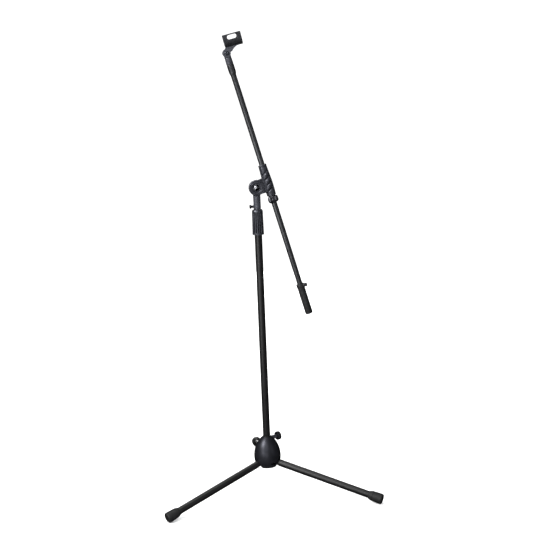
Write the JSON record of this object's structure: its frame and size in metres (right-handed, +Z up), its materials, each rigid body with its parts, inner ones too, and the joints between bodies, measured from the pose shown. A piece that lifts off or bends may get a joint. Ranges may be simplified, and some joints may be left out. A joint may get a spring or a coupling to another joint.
{
  "type": "boom microphone stand",
  "caption": "Folding tripod stand with a telescopic mast, a tilting, sliding boom with a counterweight, and a tilting microphone clip.",
  "frame": {"origin": "floor level on the mast axis", "axes": "+Z up along the mast, +X right as seen from the front, +Y away from the front; the boom tilts in the XZ plane"},
  "size_m": [0.6428, 0.5596, 1.365],
  "materials": {
    "tube_paint": "black powder coat, semi-gloss",
    "black_nylon": "moulded glass-filled nylon, satin",
    "hub_plastic": "moulded black plastic, satin",
    "bearing_plastic": "acetal, smooth",
    "knob_plastic": "moulded black plastic, glossy",
    "grip_plastic": "moulded dark grey plastic, satin",
    "rubber": "black rubber, matt",
    "zinc_steel": "zinc-plated steel",
    "chrome_bolt": "bright plated",
    "brass": "turned brass"
  },
  "bodies": {
    "base": {"mast_tube": "tube_paint", "leg_carrier": "black_nylon", "leg_pins": "zinc_steel", "base_plate": "black_nylon", "base_screw": "zinc_steel", "clutch_body": "bearing_plastic", "clutch_collet": "bearing_plastic"},
    "hub": {"hub_bell": "hub_plastic", "hub_bushing": "bearing_plastic"},
    "hub_clamp": {"hub_knob": "knob_plastic", "hub_knob_screw": "zinc_steel"},
    "leg_left": {"leg_fitting_left": "black_nylon", "leg_tube_left": "tube_paint", "foot_left": "rubber"},
    "leg_right": {"leg_fitting_right": "black_nylon", "leg_tube_right": "tube_paint", "foot_right": "rubber"},
    "leg_rear": {"leg_fitting_rear": "black_nylon", "leg_tube_rear": "tube_paint", "foot_rear": "rubber"},
    "clutch": {"clutch_grip": "grip_plastic"},
    "inner_mast": {"inner_tube": "tube_paint", "inner_tube_bush": "bearing_plastic"},
    "holder": {"holder_post": "black_nylon"},
    "neck_clamp": {"neck_knob": "knob_plastic", "neck_screw": "zinc_steel"},
    "boom_clamp": {"boom_grip": "grip_plastic", "friction_washer": "rubber", "pivot_bolt": "chrome_bolt", "boom_collet": "bearing_plastic"},
    "tilt_clamp": {"tilt_knob": "knob_plastic", "tilt_nut": "brass"},
    "boom_lock": {"boom_lock_knob": "knob_plastic"},
    "boom": {"boom_tube": "tube_paint", "boom_tip": "tube_paint", "boom_end_cap": "bearing_plastic"},
    "weight": {"counterweight": "tube_paint"},
    "weight_clamp": {"weight_knob": "knob_plastic", "weight_screw": "zinc_steel"},
    "clip_mount": {"clip_base": "grip_plastic", "clip_insert": "brass", "clip_screw": "zinc_steel", "clip_nut": "zinc_steel"},
    "clip": {"mic_clip": "grip_plastic"}
  },
  "joints": [
    {"name": "hub_slide", "type": "slide", "parent": "base", "child": "hub", "axis": [0, 0, 1], "range_m": [0, 0.03]},
    {"name": "hub_knob_turn", "type": "hinge", "parent": "hub", "child": "hub_clamp", "pos_m": [0, 0, 0.15951], "axis": [0.866, 0.5, 0], "range_deg": [0, 450]},
    {"name": "leg_left_fold", "type": "hinge", "parent": "base", "child": "leg_left", "pos_m": [-0.02511, -0.0145, 0.09061], "axis": [0.5, -0.866, 0], "range_deg": [0, 77]},
    {"name": "leg_right_fold", "type": "hinge", "parent": "base", "child": "leg_right", "pos_m": [0.02511, -0.0145, 0.09061], "axis": [0.5, 0.866, 0], "range_deg": [0, 77]},
    {"name": "leg_rear_fold", "type": "hinge", "parent": "base", "child": "leg_rear", "pos_m": [0, 0.029, 0.09061], "axis": [-1, 0, 0], "range_deg": [0, 77]},
    {"name": "clutch_twist", "type": "hinge", "parent": "base", "child": "clutch", "pos_m": [0, 0, 0.825], "axis": [0, 0, 1], "range_deg": [0, 180]},
    {"name": "mast_slide", "type": "slide", "parent": "base", "child": "inner_mast", "axis": [0, 0, 1], "range_m": [0, 0.54]},
    {"name": "holder_swivel", "type": "hinge", "parent": "inner_mast", "child": "holder", "pos_m": [0, 0, 0.88], "axis": [0, 0, 1], "continuous": true},
    {"name": "neck_knob_turn", "type": "hinge", "parent": "holder", "child": "neck_clamp", "pos_m": [0, 0, 0.8701], "axis": [-1, 0, 0], "range_deg": [0, 450]},
    {"name": "boom_tilt", "type": "hinge", "parent": "holder", "child": "boom_clamp", "pos_m": [0, 0, 0.925], "axis": [0, -1, 0], "range_deg": [-15, 120]},
    {"name": "tilt_knob_turn", "type": "hinge", "parent": "boom_clamp", "child": "tilt_clamp", "pos_m": [0, 0.02, 0.925], "axis": [0, 1, 0], "range_deg": [0, 450]},
    {"name": "boom_lock_turn", "type": "hinge", "parent": "boom_clamp", "child": "boom_lock", "pos_m": [0.04635, 0, 0.88964], "axis": [-0.2656, 0, 0.9641], "range_deg": [0, 90]},
    {"name": "boom_slide", "type": "slide", "parent": "boom_clamp", "child": "boom", "axis": [-0.2656, 0, 0.9641], "range_m": [-0.255, 0.16]},
    {"name": "weight_slide", "type": "slide", "parent": "boom", "child": "weight", "axis": [-0.2656, 0, 0.9641], "range_m": [0, 0.06]},
    {"name": "weight_knob_turn", "type": "hinge", "parent": "weight", "child": "weight_clamp", "pos_m": [0.11845, 0, 0.62789], "axis": [0.8738, -0.4226, 0.2407], "range_deg": [0, 450]},
    {"name": "clip_swivel", "type": "hinge", "parent": "boom", "child": "clip_mount", "pos_m": [-0.0629, 0, 1.28627], "axis": [-0.2656, 0, 0.9641], "range_deg": [-180, 180]},
    {"name": "clip_tilt", "type": "hinge", "parent": "clip_mount", "child": "clip", "pos_m": [-0.0681, 0, 1.30516], "axis": [0, -1, 0], "range_deg": [-30, 90]}
  ]
}
